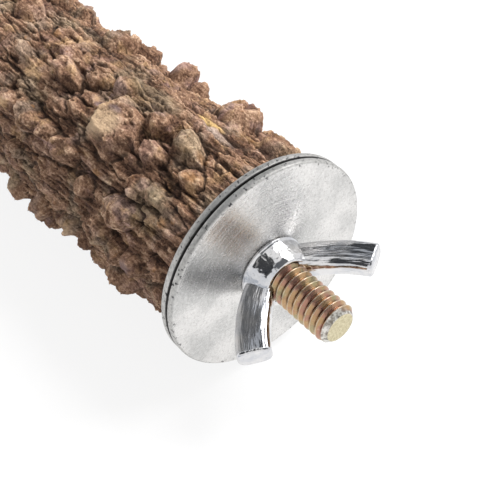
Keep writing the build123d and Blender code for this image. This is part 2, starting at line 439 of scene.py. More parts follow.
def lumpRise(ahead, aside, turn, radius, height, corners, stretch):
    # one lump of the solid on flat ground of its own: leaning sides on an uneven outline, under a tilted
    # top; gives the rise and how far inside the lump's foot each place is
    corner = np.arange(corners + 1) % corners
    bearing = 2 * np.pi * corner / corners + np.radians(turn)
    spread = radius * knobs["foot"] * (1 + knobs["uneven"] * np.sin(turn + 2 * corner))
    cornerX, cornerY = spread * stretch * np.cos(bearing), spread * np.sin(bearing)
    sink = (radius * knobs["foot"]) ** 2 / (2 * branch["radius"]) + knobs["root"]
    inset = radius * (knobs["foot"] - knobs["crown"]) / (sink + height)
    inside = np.full_like(ahead, np.inf)
    for first in range(corners):
        edgeX, edgeY = np.diff(cornerX)[first], np.diff(cornerY)[first]
        inward = edgeX * (aside - cornerY[first]) - edgeY * (ahead - cornerX[first])
        inside = np.minimum(inside, inward / np.hypot(edgeX, edgeY))
    high = 2 * np.radians(turn)
    toward = ahead * np.cos(high) + aside * np.sin(high)
    top = height - np.tan(np.radians(knobs["tilt"])) * np.maximum(radius * knobs["crown"] - toward, 0)
    sides = inside / inset - sink
    # the rim between sides and top is eased
    meeting = np.maximum(skin["rimEase"] - np.abs(sides - top), 0)
    return np.minimum(sides, top) - meeting ** 2 / (4 * skin["rimEase"]), inside - sink * inset


def lumpField(along, angle):
    # the highest lump at each place: its rise, the share of its height, the crevice at its foot,
    # its own number for the colour, and a push outwards along and round the branch
    rise, crown, foot, hue, pushAlong, pushRound = np.zeros((6, *along.shape))
    for share, turn, radius, height, corners, stretch in allLumps():
        offAngle = turnBetween(angle, np.radians(turn))
        stepAlong = along - share * branchLength
        stepRound = (branch["radius"] + 0.5 * height) * np.sin(offAngle)
        near = np.hypot(stepAlong / stretch, stepRound) < skin["lumpReach"] * radius
        near = near & (np.abs(offAngle) < 1)
        stepAlong, stepRound = stepAlong[near], stepRound[near]
        top, inside = lumpRise(-stepAlong, -stepRound, turn, radius, height, int(corners), stretch)
        top = top + branch["radius"] * (1 - np.cos(offAngle[near]))
        # the foot flares out into the bark
        top = (top + np.sqrt(top * top + skin["flare"] ** 2)) / 2 - skin["flareDrop"]
        ahead = top > rise[near]
        shape = np.clip(top / height, 0, 1)
        bulge = skin["bulge"] * radius * np.sin(np.pi * shape) / (np.hypot(stepAlong, stepRound) + 0.01)
        number = 0.5 + 0.5 * np.sin(5.1 * turn + 40 * share)
        crownShare = shape * min(height / skin["crownHeight"], 1)
        for field, value in ((rise, top), (crown, crownShare), (hue, number),
                             (pushAlong, bulge * stepAlong), (pushRound, bulge * stepRound)):
            field[near] = np.where(ahead, value, field[near])
        shadedCrevice = np.exp(-((inside + skin["footGap"]) / skin["footWidth"]) ** 2)
        foot[near] = np.maximum(foot[near], shadedCrevice)
    return rise, crown, foot, hue, pushAlong, pushRound


def markTints(along, angle):
    # colour and strength of the marked places, blended where they meet
    tint = np.zeros((*along.shape, 4))
    for share, turn, halfLength, halfWidth, strength, name in barkMarks:
        stepAlong = (along - share * branchLength) / halfLength
        stepRound = turnBetween(angle, np.radians(turn)) * branch["radius"] / halfWidth
        mark = strength * (1 - smoothStep(*skin["markEdge"], np.hypot(stepAlong, stepRound)))[..., None]
        tint = tint * (1 - mark) + mark * np.array([*barkColours[name], 1.0])
    tint[..., :3] /= np.maximum(tint[..., 3:], 1e-6)
    return tint


def barkSurface(share, angle):
    # points of the bark and what its finish needs there; places are bent by noise
    # before any pattern is read, and all heights are added up along the radius
    centre = branchCentre(share)
    seat = centre + acrossBranch(angle) * branchReach(share, angle)[..., None]
    eased = seat + skin["bend"] * barkGrain(noiseVector, seat, "bend")
    bent = eased + skin["fineBend"] * barkGrain(noiseVector, seat, "fineBend")
    off = bent - centre
    rise, crown, foot, hue, pushAlong, pushRound = lumpField(
        nearEnd - bent[..., 0], np.arctan2(off[..., 2], off[..., 1]))
    off = eased - centre
    tint = markTints(nearEnd - eased[..., 0], np.arctan2(off[..., 2], off[..., 1]))
    onTop = np.minimum(crown, 1)

    swell = skin["swell"] * barkGrain(layeredNoise, seat, "swell")
    # corky layers: the height is cut into steps with steep risers
    stack = (rise + swell) / skin["layer"] + skin["layerWander"] * barkGrain(layeredNoise, bent, "layer")
    part = stack - np.floor(stack)
    terrace = skin["layer"] * skin["layering"] * (smoothStep(*skin["riser"], part) - part)
    # fibres run along the branch as sharp ridges
    drift = seat + skin["drift"] * barkGrain(noiseVector, seat, "drift")
    strands = np.abs(barkGrain(valueNoise, drift, "strand"))
    strands = strands + 0.7 * np.abs(barkGrain(valueNoise, drift, "fineStrand"))
    fibre = skin["fibre"] * (0.8 - 1.6 * strands) * (1 - 0.75 * onTop)
    # crumbling lumps have sharp ridges in every direction
    crumbs = np.abs(barkGrain(valueNoise, bent, "crumb"))
    crumbs = crumbs + 0.6 * np.abs(barkGrain(valueNoise, bent, "fineCrumb"))
    crag = skin["crag"] * (0.55 - crumbs) * (0.25 + 0.75 * onTop)
    # small round warts between the lumps, where a cell's number is high
    nearest, _, number, _ = barkGrain(cellNoise, bent, "wart")
    wart = np.clip(1 - (nearest / skin["wartSize"]) ** 2, 0, 1) * smoothStep(*skin["wartChance"], number)
    wart = wart * (1 - smoothStep(*skin["wartFade"], crown))
    # cracks between the lumps, along the borders of long cells
    nearest, second, _, _ = barkGrain(cellNoise, bent, "crack")
    crack = 1 - smoothStep(*skin["crackEdge"], second - nearest)
    crack = crack * (1 - smoothStep(*skin["crackFade"], crown))
    # chips: every small cell is a flat facet with a level and a lean of its own
    _, _, number, way = barkGrain(cellNoise, bent, "chip")
    lean = np.stack([np.sin(40 * number), np.sin(70 * number + 1), np.sin(110 * number + 2)], -1)
    facet = (number - 0.5) + skin["chipLean"] * np.sum(lean * way, -1)
    chip = skin["chips"] * facet * (0.15 + 0.85 * onTop)
    grain = skin["grain"] * barkGrain(layeredNoise, bent, "grain")
    # a broken crevice round the foot of each lump
    moat = foot * smoothStep(*skin["moatChance"], barkGrain(valueNoise, seat, "moat"))
    moat = moat * (1 - smoothStep(*skin["moatFade"], crown))

    # marked places are worn smoother, and both ends are calm and bevelled
    rough = terrace + fibre + crag + chip + grain
    fine = rough * (1 - skin["markWear"] * tint[..., 3]) + skin["warts"] * wart
    sunk = skin["crack"] * crack + skin["moat"] * moat
    edge = np.minimum(share, 1 - share) * branchLength
    calm = smoothStep(0.0, skin["calm"], edge)
    bevel = branch["endBevel"] * (1 - smoothStep(0.0, branch["endBevel"], edge))
    height = calm * (swell + rise + fine - sunk - skin["settle"]) - bevel
    height = np.maximum(height, -skin["deepest"])

    movedShare = share + calm * pushAlong / branchLength
    movedAngle = angle + calm * pushRound / branch["radius"]
    reach = branchReach(share, angle) + height
    points = branchCentre(movedShare) + acrossBranch(movedAngle) * reach[..., None]
    points = points + (skin["shake"] * calm)[..., None] * barkGrain(noiseVector, seat, "shake")
    margin = skin["boxGap"] * np.array([0.0, 1.0, 1.0])
    points = np.clip(points, branchLow + margin, branchHigh - margin)
    finish = {
        # relief: raised places are paler in the colour, a painted light
        "relief": 0.5 + 0.5 * np.tanh(2.6 * (rough + 0.4 * wart + 0.05)),
        # crack: the cracks and moats, darkened in the colour as painted shade
        "crack": np.maximum(0.85 * crack, moat) * calm, "crown": crown, "hue": hue, "tint": tint,
    }
    return points, finish


def makeSkin(name, firstShare, lastShare, step):
    # a closed tube: outer rows towards the bolt, the near rim, the inner face back, the far rim
    rows = int(np.ceil((lastShare - firstShare) * branchLength / step)) + 1
    columns = skin["columns"]
    share = np.linspace(lastShare, firstShare, rows)[:, None]
    angle = np.linspace(0, 2 * np.pi, columns, endpoint=False)[None, :]
    share, angle = np.broadcast_arrays(share, angle)
    outer, finish = barkSurface(share, angle)
    depth = branchReach(share, angle) - branch["barkDepth"]
    inner = branchCentre(share) + acrossBranch(angle) * depth[..., None]
    rings = np.stack([outer[-1], inner[-1], *inner[-2:0:-skin["innerStep"]], inner[0], outer[0]])
    points = np.concatenate([outer.reshape(-1, 3), rings.reshape(-1, 3)])
    # the rims have rings of their own, so that the shading turns sharply there
    rimQuads = gridQuads(len(rings), columns, False, rows * columns)
    quads = np.concatenate([gridQuads(rows, columns), rimQuads])
    attributes = {}
    for label, values in finish.items():
        spare = np.repeat(values[:1] * 0 + 0.3, len(rings), 0)
        if label == "tint":
            spare = spare * 0
        attributes[label] = np.concatenate([values, spare]).reshape(len(points), -1)
    return meshPiece(name, points, quads, None, attributes)


def barkRgb(name):
    return rgb(*barkColours[name])


def barkMaterial():
    # crumbly brown cork: a ramp from dark to pale is read by fibres, specks and relief, where relief is
    # painted light on raised places and painted shade in hollows; then come patches of other colours, the
    # marked places and painted shade in the crevices
    material, place, shader = newMaterial("corkyBark")
    relief, crack = place.attribute("relief"), place.attribute("crack")
    crown, hue = place.attribute("crown"), place.attribute("hue")
    fibre = place.stretched((0.1, 1.0, 1.0)).noise(0.55, 4, 0.65)
    speck = place.noise(0.42, 3, 0.7)
    broad = place.noise(5, 3)
    # relief and crown make raised places paler, a painted light on crests and painted shade in hollows;
    # fibre, speck and broad are the bark's own tone
    tone = fibre * 0.55 + speck * 0.70 + relief * 0.32 + broad * 0.30 + crown * 0.06 - 0.46
    ramp = ((0.24, "deep"), (0.38, "dark"), (0.52, "brown"), (0.64, "light"), (0.80, "pale"))
    stops = [(level, barkColours[name]) for level, name in ramp]
    colour = tone.node("ShaderNodeValToRGB", {"stops": stops}, {0: tone})
    # broad changes of colour: grey-green, violet grey and ochre, each with a light and a dark copy picked by
    # the tone, so partly painted light and shade, then rust
    shade = tone.between(0.2, 0.75)
    grey = place.noise(7, 2).between(0.50, 0.66) * 0.5
    violet = (hue.between(0.70, 0.98) * 0.6 + 0.4) * place.noise(3.5, 2).between(0.48, 0.66) * 0.6
    ochre = place.noise(4.2, 3).between(0.54, 0.70) * 0.55
    for patch, name in ((grey, "grey"), (violet, "violet"), (ochre, "ochre")):
        colour = patch.mix(colour, shade.mix(barkRgb(name + "Dark"), barkRgb(name + "Pale")))
    rust = place.noise(2.6, 3).between(0.66, 0.76) * 0.45
    colour = rust.mix(colour, barkRgb("rustPatch"))
    mark = place.node("ShaderNodeAttribute", {"attribute_name": "tint"}, None, "Color")
    markShare = Wire(place.tree, mark.socket.node.outputs["Alpha"])
    colour = (markShare * (0.45 + 0.55 * tone.between(0.30, 0.55))).mix(colour, mark)
    # painted shade: the cracks and moats are darkened
    colour = (crack.between(0.25, 0.9) * 0.8).mix(colour, barkRgb("shadedCrevice"))
    height = fibre * 0.8 + speck * 0.9
    plug(shader, {
        "Base Color": colour, "Roughness": 0.70 + 0.25 * speck, "Specular IOR Level": 0.25,
        "Normal": bump(height, 1.0, 0.5),
    })
    return material


barkFinish = barkMaterial()
barkParts = zip(skin["joinShares"], skin["joinShares"][1:], skin["steps"])
for number, (firstShare, lastShare, step) in enumerate(barkParts, 1):
    piece = makeSkin(f"bark{number}", firstShare, lastShare, step)
    piece.data.materials.append(barkFinish)
    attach(piece, "branch")
    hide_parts("bark")
print("bark done")


# Turned pieces

def revolved(profile, columns):
    # a closed loop of (x, radius) points carried round the X axis
    angle = np.linspace(0, 2 * np.pi, columns, endpoint=False)
    ring = acrossBranch(angle)
    points = profile[:, 1][:, None, None] * ring[None]
    points[..., 0] = profile[:, 0][:, None]
    return points


def arc(centreX, centreR, radius, fromAngle, toAngle, count=6):
    # points (x, radius) on a quarter round, angles in degrees from +X towards larger radius
    angle = np.radians(np.linspace(fromAngle, toAngle, count))
    return np.stack([centreX + radius * np.cos(angle), centreR + radius * np.sin(angle)], -1)


washer = {
    "radius": 19.05, "bore": 3.87, "rimRound": 0.42, "boreRound": 0.12, "columns": 224, "faceRows": 22,
    "dish": 0.014, "dishGrain": 7, "dishSeed": 101,
    "cloudGrain": 6, "mottleGrain": 0.5, "waveGrain": 4.5, "ringGrain": 0.16, "pitGrain": 0.6,
    # bands below the rim, and the painted shade where the two rims face each other
    "rimBand": (0.45, 0.1), "pitBand": (1.0, 0.2), "seamBand": (0.7, 0.4),
    "seamX": 0.05, "seamWidth": (0.34, 0.2),
    "bright": rgb(0.76, 0.745, 0.73), "dull": rgb(0.58, 0.575, 0.565), "mottleDark": rgb(0.30, 0.29, 0.28),
    "mottlePale": rgb(0.90, 0.90, 0.88), "rimPale": rgb(0.62, 0.61, 0.59), "rimDark": rgb(0.40, 0.395, 0.385),
    "pit": rgb(0.03, 0.03, 0.035), "seamShade": rgb(0.02, 0.018, 0.018),
}


def makeWasher(name):
    # a punched disc: rounded rim, flat faces that are very slightly uneven, rounded bore
    low, high = nodeBox(name)
    radius = min(high[1], high[2])
    back, front, edge = low[0], high[0], washer["rimRound"]
    small, bore = washer["boreRound"], washer["bore"]
    faceRadii = np.linspace(radius - edge, bore + small, washer["faceRows"] + 2)[1:-1]
    frontFace = np.stack([np.full_like(faceRadii, front), faceRadii], -1)
    backFace = np.stack([np.full_like(faceRadii, back), faceRadii[::-1]], -1)
    profile = np.concatenate([
        arc(back + edge, radius - edge, edge, 180, 90),
        arc(front - edge, radius - edge, edge, 90, 0),
        frontFace,
        arc(front - small, bore + small, small, 0, -90, 4),
        arc(back + small, bore + small, small, 270, 180, 4),
        backFace,
    ])
    points = revolved(profile, washer["columns"])
    middle = (back + front) / 2
    noise = valueNoise(points / washer["dishGrain"], washer["dishSeed"] + len(name))
    uneven = washer["dish"] * (0.5 + 0.5 * noise)
    points[..., 0] -= np.sign(points[..., 0] - middle) * uneven
    quads = gridQuads(len(profile), washer["columns"], True)
    return meshPiece(name + "Disc", points.reshape(-1, 3), quads)


def nearRim(offAxis, band):
    # from 0 to 1 across a band that is measured inwards from the washer's radius
    inner, outer = band
    return offAxis.between((washer["radius"] - inner) * mm, (washer["radius"] - outer) * mm)


def washerMaterial():
    # satin zinc: cloudy greys, fine mottling, marks in rings where it was turned, a dull pitted rim
    material, place, shader = newMaterial("satinZinc")
    cloud = place.noise(washer["cloudGrain"], 3)
    mottle = place.noise(washer["mottleGrain"], 4, 0.7)
    wave = place.noise(washer["waveGrain"], 2)
    offAxis = offBoltAxis(place)
    rings = lineNoise(offAxis, 1 / (washer["ringGrain"] * mm), 2.0)
    colour = cloud.between(0.35, 0.65).mix(washer["bright"], washer["dull"])
    colour = (mottle.between(0.50, 0.72) * 0.45).mix(colour, washer["mottleDark"])
    colour = (mottle.between(0.50, 0.30) * 0.35).mix(colour, washer["mottlePale"])
    rim = nearRim(offAxis, washer["rimBand"])
    colour = (rim * 0.8).mix(colour, mottle.between(0.3, 0.7).mix(washer["rimPale"], washer["rimDark"]))
    pits = place.noise(washer["pitGrain"], 2).between(0.60, 0.68) * nearRim(offAxis, washer["pitBand"])
    colour = (pits * 0.9).mix(colour, washer["pit"])
    # painted shade on the two edges that face each other when the jaw is shut
    fromSeam = place.maths("ABSOLUTE", axisOf(place, "X") - washer["seamX"] * mm)
    wide, narrow = washer["seamWidth"]
    seam = fromSeam.between(wide * mm, narrow * mm) * nearRim(offAxis, washer["seamBand"])
    colour = (seam * 0.92).mix(colour, washer["seamShade"])
    roughness = 0.16 + 0.14 * mottle + 0.08 * cloud + 0.25 * rim
    plug(shader, {
        "Base Color": colour, "Metallic": 1.0, "Roughness": roughness,
        "Normal": bump(mottle * 0.8 + pits * -1.5 + rings * 4.0 + wave * 3.0, 0.22, 0.05),
    })
    return material


washerFinish = washerMaterial()
for node in ("inner_washer", "outer_washer"):
    piece = makeWasher(node)
    piece.data.materials.append(washerFinish)
    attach(piece, node)
    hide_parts(node)
print("washers done")

bolt = {
    "pitch": 1.27, "crest": 3.45, "depth": 0.48, "tipRadius": 2.55, "chamfer": 0.9, "columns": 112,
    "rowsPerPitch": 26, "lagPitch": 2.4, "lagCrest": 2.88, "lagDepth": 0.75, "lagRows": 14, "point": 8.0,
    "collar": 3.0, "crestShare": 0.1, "rootShare": 0.06, "pointShare": 0.14, "tipSink": 0.02,
    "tipRings": (0.97, 0.9, 0.6, 0.3),
    "pink": rgb(0.43, 0.23, 0.17), "gold": rgb(0.47, 0.30, 0.16), "olive": rgb(0.34, 0.33, 0.19),
    "speck": rgb(0.62, 0.50, 0.36), "crestShine": rgb(0.80, 0.68, 0.52), "rootShade": rgb(0.09, 0.042, 0.022),
    "silverDark": rgb(0.20, 0.19, 0.17), "silver": rgb(0.74, 0.73, 0.69),
    "tipDark": rgb(0.52, 0.46, 0.29), "tipPale": rgb(0.74, 0.68, 0.48),
}


def threadRadius(x, turn, crest, depth, pitch):
    # trapezoid thread that winds along x: the crest's radius, straight flanks, a narrow root
    phase = x / pitch - turn / (2 * np.pi)
    offset = np.abs(phase % 1 - 0.5) * 2
    wave = np.clip((offset - bolt["rootShare"]) / (1 - bolt["rootShare"] - bolt["crestShare"]), 0, 1)
    return crest - depth * (1 - wave)


def makeBolt(name):
    # radius as a function of x and the turn: a fine right-hand thread outside, a coarse one
    # that runs to a point in the wood, and a chamfer at the sawn tip
    low, high = nodeBox("hanger_bolt")
    collarX = nearEnd - bolt["collar"]
    lagX = np.arange(low[0], collarX, bolt["lagPitch"] / bolt["lagRows"])
    threadX = np.arange(collarX, high[0], bolt["pitch"] / bolt["rowsPerPitch"])
    x = np.concatenate([lagX, threadX, [high[0]]])[:, None]
    turn = np.linspace(0, 2 * np.pi, bolt["columns"], endpoint=False)[None, :]
    fine = threadRadius(x, turn, bolt["crest"], bolt["depth"], bolt["pitch"])
    coarse = threadRadius(x, turn, bolt["lagCrest"], bolt["lagDepth"], bolt["lagPitch"])
    pointed = np.clip((x - low[0]) / bolt["point"], 0, 1)
    coarse = coarse * (bolt["pointShare"] + (1 - bolt["pointShare"]) * pointed)
    radius = np.where(x < collarX, coarse, fine)
    slope = (bolt["crest"] - bolt["tipRadius"]) / bolt["chamfer"]
    radius = np.minimum(radius, bolt["tipRadius"] + slope * (high[0] - x))
    ring = acrossBranch(turn + 0 * x)
    points = radius[..., None] * ring
    points[..., 0] = x
    # the sawn tip: a flat disc in rings about its centre
    discShares = np.array(bolt["tipRings"])[:, None, None]
    disc = points[-1][None] * discShares
    disc[..., 0] = high[0] - bolt["tipSink"] * (1 - discShares[..., 0])
    grid = np.concatenate([points, disc])
    rows = len(grid)
    # depth in the thread, how far into the chamfer, and whether on the disc
    deep = np.clip((bolt["crest"] - fine) / bolt["depth"], 0, 1)
    bevel = smoothStep(0.02, 0.16, fine - radius) * (x > collarX)
    onDisc = np.zeros((rows, bolt["columns"]))
    onDisc[len(points):] = 1
    spare = np.zeros((len(disc), bolt["columns"]))
    poles = np.array([[low[0], 0, 0], [high[0] - bolt["tipSink"], 0, 0]])
    count = rows * bolt["columns"]
    fans = poleFans(bolt["columns"], count, rows - 1, count + 1)
    attributes = {
        "depth": np.concatenate([np.concatenate([deep, spare]).ravel(), [0, 0]]),
        "bevel": np.concatenate([np.concatenate([bevel, spare]).ravel(), [0, 0]]),
        "disc": np.concatenate([onDisc.ravel(), [0, 1]]),
    }
    allPoints = np.concatenate([grid.reshape(-1, 3), poles])
    return meshPiece(name, allPoints, gridQuads(rows, bolt["columns"]), fans, attributes)


def boltMaterial():
    # yellow zinc plate: brown gold with pink and green tints, a painted highlight on the crests, painted
    # shade in the thread's roots, bare silver on the chamfer and pale on the sawn tip
    material, place, shader = newMaterial("yellowZinc")
    depth, bevel, disc = place.attribute("depth"), place.attribute("bevel"), place.attribute("disc")
    tint = place.noise(2.2, 2)
    fine = place.noise(0.4, 3)
    colour = tint.between(0.40, 0.56).mix(bolt["pink"], bolt["gold"])
    colour = (place.noise(2.8, 2).between(0.52, 0.64) * 0.65).mix(colour, bolt["olive"])
    colour = (fine.between(0.55, 0.75) * 0.4).mix(colour, bolt["speck"])
    # painted highlight on the crests and painted shade in the roots
    colour = (depth.between(0.18, 0.02) * 0.55).mix(colour, bolt["crestShine"])
    colour = (depth.between(0.68, 1.0) * 0.32).mix(colour, bolt["rootShade"])
    silver = place.noise(0.7, 3).between(0.35, 0.65).mix(bolt["silverDark"], bolt["silver"])
    colour = (bevel * 0.9).mix(colour, silver)
    colour = (disc * 0.95).mix(colour, fine.between(0.3, 0.7).mix(bolt["tipDark"], bolt["tipPale"]))
    plug(shader, {
        "Base Color": colour, "Metallic": 1.0, "Roughness": 0.17 + 0.14 * fine + 0.2 * disc,
        "Normal": bump(fine, 0.25, 0.05),
    })
    return material


boltPiece = makeBolt("boltThreads")
boltPiece.data.materials.append(boltMaterial())
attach(boltPiece, "branch")
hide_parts("hanger_bolt")
print("bolt done")

nut = {
    "bore": 3.5, "baseRadius": 6.0, "topRadius": 4.6, "height": 4.3, "baseRound": 0.4, "topRound": 0.55,
    "baseTuck": 0.08, "topLift": 0.02, "sideShares": (0.12, 0.86), "sideRows": 8,
    "boreChamfer": 0.45, "columns": 128, "turn": 12,
    # three places (off the axis, above the seat) that a wing's middle line passes
    "root": (3.7, 2.3), "knee": (7.7, 5.3), "tip": (12.41, 11.13),
    "endAngles": (0, 22, 45, 68, 90), "endRings": (0.66, 0.33),
    "depth": 5.4, "thickness": 3.5, "boxiness": 3.3, "endRound": 0.5, "wingRows": 46, "wingColumns": 64,
    "rootThickness": 1.35, "rootDepth": 0.9, "rootShare": 0.5,
    "wingFlow": 0.14, "hubFlow": 0.55, "rippleGrain": 1.1, "lineGrain": 0.35,
    "bright": rgb(0.74, 0.73, 0.73), "bluish": rgb(0.58, 0.59, 0.62), "scratch": rgb(0.25, 0.25, 0.27),
    "boreShade": rgb(0.02, 0.018, 0.016),
}


def hubSurface(seatX):
    # a short cone with rounded edges and a chamfered bore
    topX = seatX + nut["height"]
    base, top = nut["baseRadius"], nut["topRadius"]
    lowRound, highRound = nut["baseRound"], nut["topRound"]
    chamfer, bore = nut["boreChamfer"], nut["bore"]
    lean = np.degrees(np.arctan2(base - top, nut["height"]))
    side = np.linspace(*nut["sideShares"], nut["sideRows"])[:, None]
    cone = np.array([[seatX, base]]) + side * np.array([[nut["height"], top - base]])
    profile = np.concatenate([
        arc(seatX + lowRound, base - lowRound - nut["baseTuck"], lowRound, 180, 90 - lean),
        cone,
        arc(topX - highRound, top - highRound + nut["topLift"], highRound, 90 - lean, 0),
        [[topX, bore + chamfer], [topX - chamfer, bore]],
        [[seatX + chamfer, bore], [seatX, bore + chamfer]],
    ])
    return revolved(profile, nut["columns"])


def wingSurface(seatX, turn):
    # a rounded box section carried along a circular arc, rounded over at its flat end
    places = np.array([nut["root"], nut["knee"], nut["tip"]], float)
    lines = 2 * (places[1:] - places[0])
    centre = np.linalg.solve(lines, (places[1:] ** 2).sum(1) - (places[0] ** 2).sum())
    reach = np.linalg.norm(places[0] - centre)
    bearing = np.unwrap(np.arctan2(places[:, 1] - centre[1], places[:, 0] - centre[0]))
    part = np.linspace(0, 1, nut["wingRows"])
    swing = bearing[0] + (bearing[2] - bearing[0]) * part
    sign = np.sign(bearing[2] - bearing[0])
    spine = centre + reach * np.stack([np.cos(swing), np.sin(swing)], -1)
    along = sign * np.stack([-np.sin(swing), np.cos(swing)], -1)
    atRoot = 1 - smoothStep(0, nut["rootShare"], part)
    thick = nut["thickness"] / 2 * (1 + (nut["rootThickness"] - 1) * atRoot)
    deep = nut["depth"] / 2 * (1 + (nut["rootDepth"] - 1) * atRoot)
    # rows of the end: a quarter round, then rings that close on the middle
    quarter = np.radians(np.array(nut["endAngles"]))
    over = nut["endRound"] * np.sin(quarter) - nut["endRound"]
    inset = nut["endRound"] * (1 - np.cos(quarter))
    shrink = np.array(nut["endRings"])
    endRows = len(quarter) + len(shrink)
    rounded = spine[-1] + over[:, None] * along[-1]
    spine = np.concatenate([spine[:-1], rounded, np.repeat(spine[-1:], len(shrink), 0)])
    along = np.concatenate([along[:-1], np.repeat(along[-1:], endRows, 0)])
    thick = np.concatenate([thick[:-1], thick[-1] - inset, (thick[-1] - nut["endRound"]) * shrink])
    deep = np.concatenate([deep[:-1], deep[-1] - inset, (deep[-1] - nut["endRound"]) * shrink])
    # the row before the end must not pass the start of its quarter round
    wholeLength = reach * abs(bearing[2] - bearing[0])
    keep = np.concatenate([part[:-1] < 1 - nut["endRound"] / wholeLength, np.ones(endRows, bool)])
    spine, along, thick, deep = spine[keep], along[keep], thick[keep], deep[keep]

    section = np.linspace(0, 2 * np.pi, nut["wingColumns"], endpoint=False)
    power = 2 / nut["boxiness"]
    crossThick = np.sign(np.cos(section)) * np.abs(np.cos(section)) ** power
    crossDeep = np.sign(np.sin(section)) * np.abs(np.sin(section)) ** power
    outward = acrossBranch(np.array(turn))
    axial = np.array([1.0, 0, 0])
    sideways = np.cross(outward, axial)
    normal = np.stack([-along[:, 1], along[:, 0]], -1)
    flat = spine[:, None] + (deep[:, None] * crossDeep)[..., None] * normal[:, None]
    points = flat[..., :1] * outward + flat[..., 1:] * axial
    points = points + (thick[:, None] * crossThick)[..., None] * sideways
    points[..., 0] += seatX
    # flow: a little of the way along the wing, then the place in its section,
    # for marks that run lengthwise
    length = np.cumsum(np.r_[0, np.linalg.norm(np.diff(spine, axis=0), axis=1)])
    flow = np.stack(np.broadcast_arrays(
        nut["wingFlow"] * length[:, None], deep[:, None] * crossDeep, thick[:, None] * crossThick), -1)
    return points, flow * mm


def makeNut(name):
    # the hub and two wings, which run into it
    seatX = nodeBox("wing_nut")[0][0]
    hub = hubSurface(seatX)
    parts = [hub.reshape(-1, 3)]
    flows = [hub.reshape(-1, 3) * nut["hubFlow"] * mm]
    quads = [gridQuads(len(hub), nut["columns"], True)]
    fans = []
    start = len(parts[0])
    for halfTurn in (0, np.pi):
        wing, flow = wingSurface(seatX, np.radians(nut["turn"]) + halfTurn)
        rows = len(wing)
        count = rows * nut["wingColumns"]
        for grid, found in ((wing, parts), (flow, flows)):
            found.append(grid.reshape(-1, 3))
            found.append(np.stack([grid[0].mean(0), grid[-1].mean(0)]))
        # a wing's section runs the other way round than the hub's rings, so its faces are turned over
        quads.append(gridQuads(rows, nut["wingColumns"], False, start)[:, ::-1])
        fans.append(poleFans(nut["wingColumns"], count, rows - 1, count + 1, start)[:, ::-1])
        start += count + 2
    # the two rows of the hub that hold the wall of its bore are painted dark, a painted shade inside the bore
    mouth = np.zeros(start)
    mouth[(len(hub) - 3) * nut["columns"]:(len(hub) - 1) * nut["columns"]] = 1
    attributes = {"flow": np.concatenate(flows), "mouth": mouth}
    points = np.concatenate(parts)
    return meshPiece(name, points, np.concatenate(quads), np.concatenate(fans), attributes)


def nutMaterial():
    # bright zinc on a drawn, hand-worn casting: long ripples along the wings break up what it mirrors
    material, place, shader = newMaterial("brightZinc")
    flow = place.node("ShaderNodeAttribute", {"attribute_name": "flow"}, None, "Vector")
    ripple = flow.noise(nut["rippleGrain"], 2)
    line = flow.noise(nut["lineGrain"], 3, 0.6)
    fine = place.noise(0.5, 3, 0.6)
    colour = place.noise(3, 3).between(0.35, 0.65).mix(nut["bright"], nut["bluish"])
    colour = (line.between(0.58, 0.75) * 0.5).mix(colour, nut["scratch"])
    # painted shade inside the bore
    colour = place.attribute("mouth").between(0.2, 0.8).mix(colour, nut["boreShade"])
    plug(shader, {
        "Base Color": colour, "Metallic": 1.0, "Roughness": 0.06 + 0.10 * fine,
        "Normal": bump(ripple + line * 0.12, 0.7, 0.35),
    })
    return material


nutFinish = nutMaterial()
nutPiece = makeNut("wingNutBright")
nutPiece.data.materials.append(nutFinish)
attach(nutPiece, "wing_nut")
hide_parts("wing_nut")
print("nut done")


# Sawn wood inside

wood = {
    "ringGrain": 1.0, "ringWander": 3.2, "heart": (3, 12), "pith": (1.5, 0.8),  # in millimetres
    "heartwood": rgb(0.40, 0.26, 0.15), "sapwood": rgb(0.58, 0.43, 0.27), "ring": rgb(0.30, 0.185, 0.10),
    "pale": rgb(0.68, 0.53, 0.36), "pithBrown": rgb(0.16, 0.095, 0.055), "sawLine": rgb(0.30, 0.20, 0.12),
    "crack": rgb(0.05, 0.03, 0.02),
}


def woodMaterial():
    # uneven growth rings about the pith, drying cracks along the rays, saw lines across the cut
    material, place, shader = newMaterial("sawnWood")
    flat = place.stretched((0.0, 1.0, 1.0))
    pith = offBoltAxis(place)
    reach = pith + flat.noise(9, 2) * (wood["ringWander"] * mm)
    rings = lineNoise(reach, 1 / (wood["ringGrain"] * mm), 2.0)
    bearing = place.maths("ARCTAN2", axisOf(place, "Z"), axisOf(place, "Y")) + flat.noise(6, 2) * 0.25
    rays = lineNoise(bearing, 2.4, 3.0)
    crack = place.maths("ABSOLUTE", rays - 0.5).between(0.011, 0.002)
    crack = crack * flat.noise(5, 2).between(0.47, 0.56)
    grain = place.stretched((0.08, 1.0, 1.0)).noise(0.35, 3)
    saw = place.stretched((0.0, 1.0, 0.12)).noise(0.7, 3)
    heartEnds, sapStarts = wood["heart"]
    colour = reach.between(heartEnds * mm, sapStarts * mm).mix(wood["heartwood"], wood["sapwood"])
    colour = (rings.between(0.48, 0.66) * 0.5).mix(colour, wood["ring"])
    colour = (grain.between(0.45, 0.75) * 0.4).mix(colour, wood["pale"])
    pithEnds, pithStarts = wood["pith"]
    colour = (pith.between(pithEnds * mm, pithStarts * mm) * 0.8).mix(colour, wood["pithBrown"])
    colour = (saw.between(0.5, 0.8) * 0.3).mix(colour, wood["sawLine"])
    colour = (crack * 0.9).mix(colour, wood["crack"])
    plug(shader, {
        "Base Color": colour, "Roughness": 0.7 + 0.2 * grain, "Specular IOR Level": 0.3,
        "Normal": bump(saw + grain * 0.6 + crack * -3.0, 0.5, 0.12),
    })
    return material


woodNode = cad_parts["wood_core"]
woodNode.data.materials.clear()
woodNode.data.materials.append(woodMaterial())
print("wood done")


# Floor, light and camera

